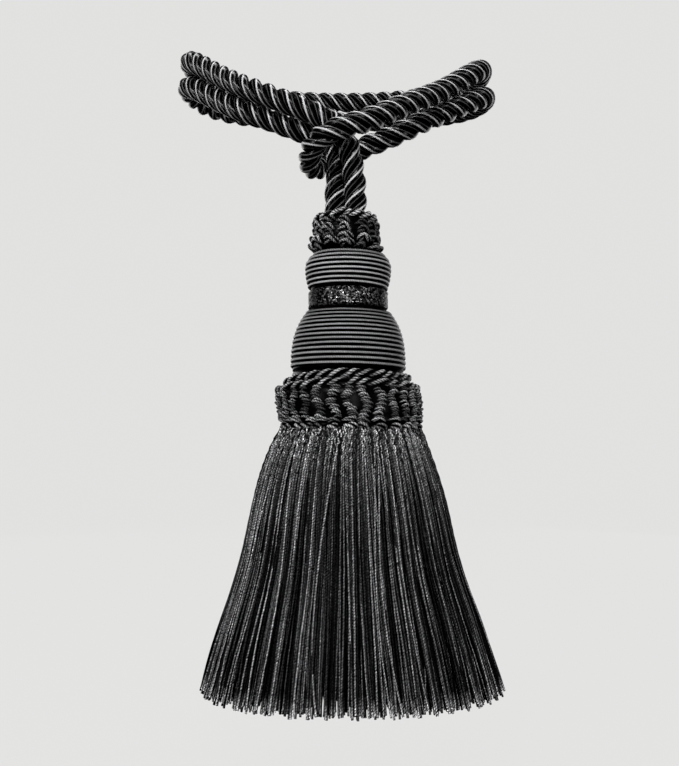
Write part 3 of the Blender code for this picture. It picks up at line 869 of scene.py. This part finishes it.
def thread_lines(layer, sizes, chance):
    """A layer's threads: how far down their points are, the points, their angles, which cross."""
    threads, steps = layer["threads"], layer["steps"]
    base = TURN * (np.arange(threads) + chance.uniform(-0.45, 0.45, threads)) / threads
    q = np.append(np.linspace(0, 1 - LAST_STEP, steps - 1), 1.0) ** 2
    length = SKIRT_LENGTH + chance.uniform(-END_RAGGED, END_RAGGED, threads)
    down = length[:, None] * q
    clump = (np.round(base / TURN * CLUMPS - layer["clump"]) + layer["clump"]) / CLUMPS * TURN
    gather = chance.uniform(*GATHER, threads) * (clump - base)
    crossing = chance.random(threads) < CROSSING_SHARE
    sway = chance.normal(0.0, np.where(crossing, CROSSING_SWAY, SWAY), threads)
    angle = base[:, None] + gather[:, None] * q**1.2 + sway[:, None] * np.sin(math.pi * q * 0.8)
    waves = chance.uniform(0, TURN, (threads, 4))[:, :, None]
    pitch = chance.uniform(*CRINKLE_PITCH, (threads, 2))[:, :, None]
    shrink = CRINKLE * np.exp(-down / CRINKLE_FADE) + CRINKLE_LEFT
    aside = shrink * np.sin(TURN * down / pitch[:, 0] + waves[:, 0])
    root = np.exp(-down / ROOT_REACH)
    out = shrink * np.sin(TURN * down / pitch[:, 1] + waves[:, 1]) - ROOT_INWARD * root
    low, high = layer["size"]
    size = np.where(crossing, high, chance.uniform(low, high, threads))[:, None]
    size = size + 0.006 * np.sin(TURN * q * 1.3 + waves[:, 2]) * np.minimum(1.0, 4 * q)
    half_width = size * np.interp(down, sizes[:, 0], sizes[:, 1]) + out
    half_depth = size * np.interp(down, sizes[:, 0], sizes[:, 2]) + out
    x = half_width * np.cos(angle) - aside * np.sin(angle)
    x = x + SKIRT_SHIFT * down / SKIRT_LENGTH + ROOT_SHIFT * np.exp(-down / CRINKLE_FADE)
    y = AXIS_Y + half_depth * np.sin(angle) + aside * np.cos(angle)
    lift = chance.uniform(*ROOT_LIFT, threads)[:, None]
    return down, np.stack([x, y, SKIRT_ROOT - down + lift * root], axis=-1), angle, crossing


def thread_shades(layer, down, crossing, chance):
    """How strong the threads' painted highlights are: finely mixed at the top, a few bright ones
    lower down.
    """
    threads = len(down)
    shade = 0.01 + DULL_LIGHT * chance.random(threads) ** 2.5
    turn_of = np.arange(threads) + (chance.random(threads) < 0.25)
    bright = (turn_of % BRIGHT_EVERY == 0) | crossing
    shade = np.where(bright, chance.uniform(*BRIGHT_LIGHT, threads), shade)
    near_root = np.exp(-down / TOP_FADE)
    # Painted highlight, finely mixed, at the top of the skirt.
    top_highlight = 0.02 + TOP_HIGHLIGHT * chance.random(threads)[:, None] ** 2.2
    shade = 0.95 * shade[:, None] * (1 - near_root) + top_highlight * near_root
    everywhere, at_top = SPARKLE
    # Painted sparkle along each thread.
    shade = shade * (1 + (everywhere + at_top * near_root) * chance.uniform(-1, 1, down.shape))
    # Painted highlight on the cut ends.
    cut_highlight = np.where(chance.random(threads) < CUT_SHARE, *CUT_HIGHLIGHT)
    shade[:, -2] += 0.25 * cut_highlight
    shade[:, -1] += cut_highlight
    return shade * layer["light"]


def add_threads(yarns, layer, sizes, chance):
    threads = layer["threads"]
    down, lines, angle, crossing = thread_lines(layer, sizes, chance)
    # The side of each thread with the painted highlight, turned mostly to the front and the back.
    highlight_side = angle + chance.normal(0.0, HIGHLIGHT_SPREAD, threads)[:, None]
    outward = np.stack(
        [np.cos(highlight_side), HIGHLIGHT_FRONT * np.sin(highlight_side), 0.0 * angle], axis=-1
    )
    thick = np.ones(down.shape) * chance.uniform(*THREAD_THICKNESS, threads)[:, None]
    thick[:, -1] *= CUT_SWELL
    shades = thread_shades(layer, down, crossing, chance)
    yarns.add_tubes(lines, round_outline(layer["sides"], THREAD_RADIUS), outward, shades,
                    thickness=thick, starts=chance.uniform(0, 40, threads))


def make_skirt(chance):
    thread = yarn_material("fringe_rayon", 0.0003, 0.46, 0.28, crest=0.12, plies=2, lay=2.5,
                           ply_depth=0.05, ply_painted_shade=0.85, fibres=3, fibre_depth=0.02,
                           stretch=0.75, fleck=6.0, gloss=0.01, uneven=6.0)
    sizes = skirt_sizes()
    for layer in SKIRT_LAYERS:
        yarns = Yarns()
        add_threads(yarns, layer, sizes, chance)
        yarns.finish(layer["name"], thread)
    top, _ = heights("skirt")
    (upper, upper_shift), (lower, lower_shift) = BACKING
    bottom = top - BACKING_DEPTH
    disc = Yarns()
    disc.add_turned([(MIDDLE_RADIUS, top, upper_shift), (upper, top, upper_shift),
                     (lower, bottom, lower_shift), (MIDDLE_RADIUS, bottom, lower_shift)], 72)
    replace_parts(disc.finish("skirt_backing", thread), "skirt")


# The room


def make_room():
    """A round floor that curves up into a round wall."""
    flat = ROOM_WALL - ROOM_CORNER
    profile = [(1.0, ROOM_FLOOR), (flat, ROOM_FLOOR)]
    for k in range(1, 9):
        angle = TURN / 4 * k / 8
        profile.append((flat + ROOM_CORNER * math.sin(angle),
                        ROOM_FLOOR + ROOM_CORNER * (1 - math.cos(angle))))
    profile.append((ROOM_WALL, ROOM_TOP))
    angle = TURN * np.arange(ROOM_SIDES) / ROOM_SIDES
    rings = [ring_points(angle, radius, height) for radius, height in profile]
    points = np.array(rings).reshape(-1, 3) * MM
    index = np.arange(len(points)).reshape(len(profile), ROOM_SIDES)
    after = np.roll(index, -1, axis=1)
    quads = np.stack([index[:-1], after[:-1], after[1:], index[1:]], axis=-1)
    faces = quads.reshape(-1, 4).tolist() + [index[0].tolist()]
    mesh = bpy.data.meshes.new("room")
    mesh.from_pydata(points.tolist(), [], faces)
    mesh.shade_smooth()
    room = bpy.data.objects.new("room", mesh)
    bpy.context.scene.collection.objects.link(room)
    material = bpy.data.materials.new("pale_paper")
    material.use_nodes = True
    shader = material.node_tree.nodes["Principled BSDF"]
    shader.inputs["Base Color"].default_value = (0.015, 0.015, 0.015, 1.0)
    shader.inputs["Roughness"].default_value = 0.9
    shader.inputs["Specular IOR Level"].default_value = 0.0
    shader.inputs["Emission Color"].default_value = (1.0, 1.0, 0.99, 1.0)
    shader.inputs["Emission Strength"].default_value = 0.755
    mesh.materials.append(material)
    room.visible_glossy = False
    room.visible_diffuse = False


def make_light(name, place, size, power):
    data = bpy.data.lights.new(name, "AREA")
    data.shape = "RECTANGLE"
    data.size, data.size_y = size
    data.energy = power
    light = bpy.data.objects.new(name, data)
    light.location = place
    aim = Vector(LIGHT_AIM) - Vector(place)
    light.rotation_euler = aim.to_track_quat("-Z", "Y").to_euler()
    light.visible_camera = False
    bpy.context.scene.collection.objects.link(light)


def make_lights():
    for light in LIGHTS:
        make_light(*light)
    world = bpy.data.worlds.new("studio")
    bpy.context.scene.world = world
    world.use_nodes = True
    world.node_tree.nodes["Background"].inputs["Color"].default_value = (1.0, 1.0, 1.0, 1.0)
    world.node_tree.nodes["Background"].inputs["Strength"].default_value = 0.01


def main():
    chance = np.random.default_rng(SEED)
    bpy.context.scene.view_settings.view_transform = "Standard"
    make_camera()
    make_rope()
    make_bulbs(chance)
    make_ribbon()
    make_collar(chance)
    make_ruff(chance)
    make_skirt(chance)
    make_room()
    make_lights()


main()
